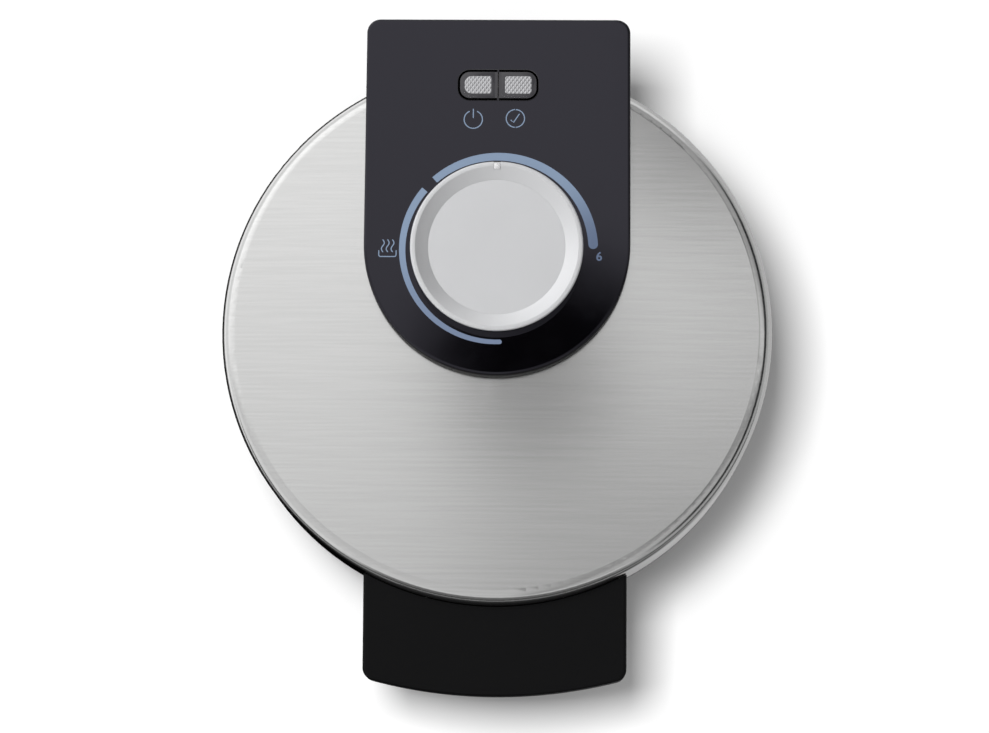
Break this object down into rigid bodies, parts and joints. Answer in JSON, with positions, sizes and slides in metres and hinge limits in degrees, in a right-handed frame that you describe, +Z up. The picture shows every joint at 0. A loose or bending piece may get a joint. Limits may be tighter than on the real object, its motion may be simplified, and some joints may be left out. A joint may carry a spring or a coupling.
{
  "type": "belgian waffle maker",
  "caption": "Round countertop waffle maker: deep gridded plates under a brushed steel hinged lid, with a large dial on a glossy control panel and a flat front handle.",
  "frame": {"origin": "on the table, in the middle of the footprint, under the feet", "axes": "+X to the right, +Y from the handle towards the hinge, +Z up"},
  "size_m": [0.24, 0.2948, 0.1046],
  "materials": {
    "lid_steel": "fine straight brushing across the lid",
    "base_plastic": "fine-textured black moulding",
    "handle_plastic": "fine-grained black moulding",
    "panel_gloss": "polished black",
    "dial_metal": "satin silver",
    "marker_chrome": "bright",
    "window_lens": "polished smoke grey",
    "window_diffuser": "diamond-textured silver grey",
    "plate_coating": "dark non-stick coating on the casting",
    "steel_parts": "plain zinc-plated steel",
    "screws": "zinc-plated steel",
    "element_tube": "dark oxidised tube",
    "reflector_metal": "bright sheet",
    "foot_rubber": "soft matt rubber",
    "gland_rubber": "matt rubber",
    "terminal_plastic": "off-white moulding",
    "thermostat_ceramic": "cream ceramic and phenolic",
    "sensor_copper": "copper tube",
    "lamp_glass": "clear with an amber core"
  },
  "bodies": {
    "base": {"base_housing": "base_plastic", "hinge_block": "base_plastic", "hinge_pins": "steel_parts", "hinge_block_screws": "screws", "handle_rest": "base_plastic", "handle_rest_screws": "screws", "bottom_cover": "base_plastic", "cover_screws": "screws", "rubber_feet": "foot_rubber", "lower_grid_plate": "plate_coating", "lower_plate_screws": "screws", "lower_heating_element": "element_tube", "lower_reflector": "reflector_metal", "lower_reflector_screws": "screws", "cord_gland": "gland_rubber", "terminal_block": "terminal_plastic", "terminal_screws": "screws"},
    "lid": {"lid_frame": "base_plastic", "hinge_bracket": "steel_parts", "hinge_bracket_screws": "screws", "lid_skin": "lid_steel", "upper_grid_plate": "plate_coating", "upper_plate_screws": "screws", "upper_heating_element": "element_tube", "upper_reflector": "reflector_metal", "upper_reflector_screws": "screws", "control_housing": "base_plastic", "housing_screws": "screws", "control_panel": "panel_gloss", "thermostat_plate": "steel_parts", "thermostat": "thermostat_ceramic", "thermostat_screws": "screws", "sensor_tube": "sensor_copper", "thermal_fuse": "thermostat_ceramic", "plate_clips": "steel_parts", "clip_screws": "screws", "left_lens": "window_lens", "right_lens": "window_lens", "left_diffuser": "window_diffuser", "right_diffuser": "window_diffuser", "lamp_holder": "terminal_plastic", "indicator_lamps": "lamp_glass", "handle_cover": "handle_plastic", "handle_shell": "handle_plastic", "handle_screws": "screws", "handle_cover_screws": "screws"},
    "dial": {"dial": "dial_metal", "dial_cap": "dial_metal", "dial_marker": "marker_chrome", "thermostat_shaft": "steel_parts"}
  },
  "joints": [
    {"name": "lid_hinge", "type": "hinge", "parent": "base", "child": "lid", "pos_m": [0, 0.1404, 0.051], "axis": [-1, 0, 0], "range_deg": [0, 102]},
    {"name": "knob_turn", "type": "hinge", "parent": "lid", "child": "dial", "pos_m": [0, 0.0436, 0.097], "axis": [0, 0, 1], "range_deg": [-90, 180]}
  ]
}
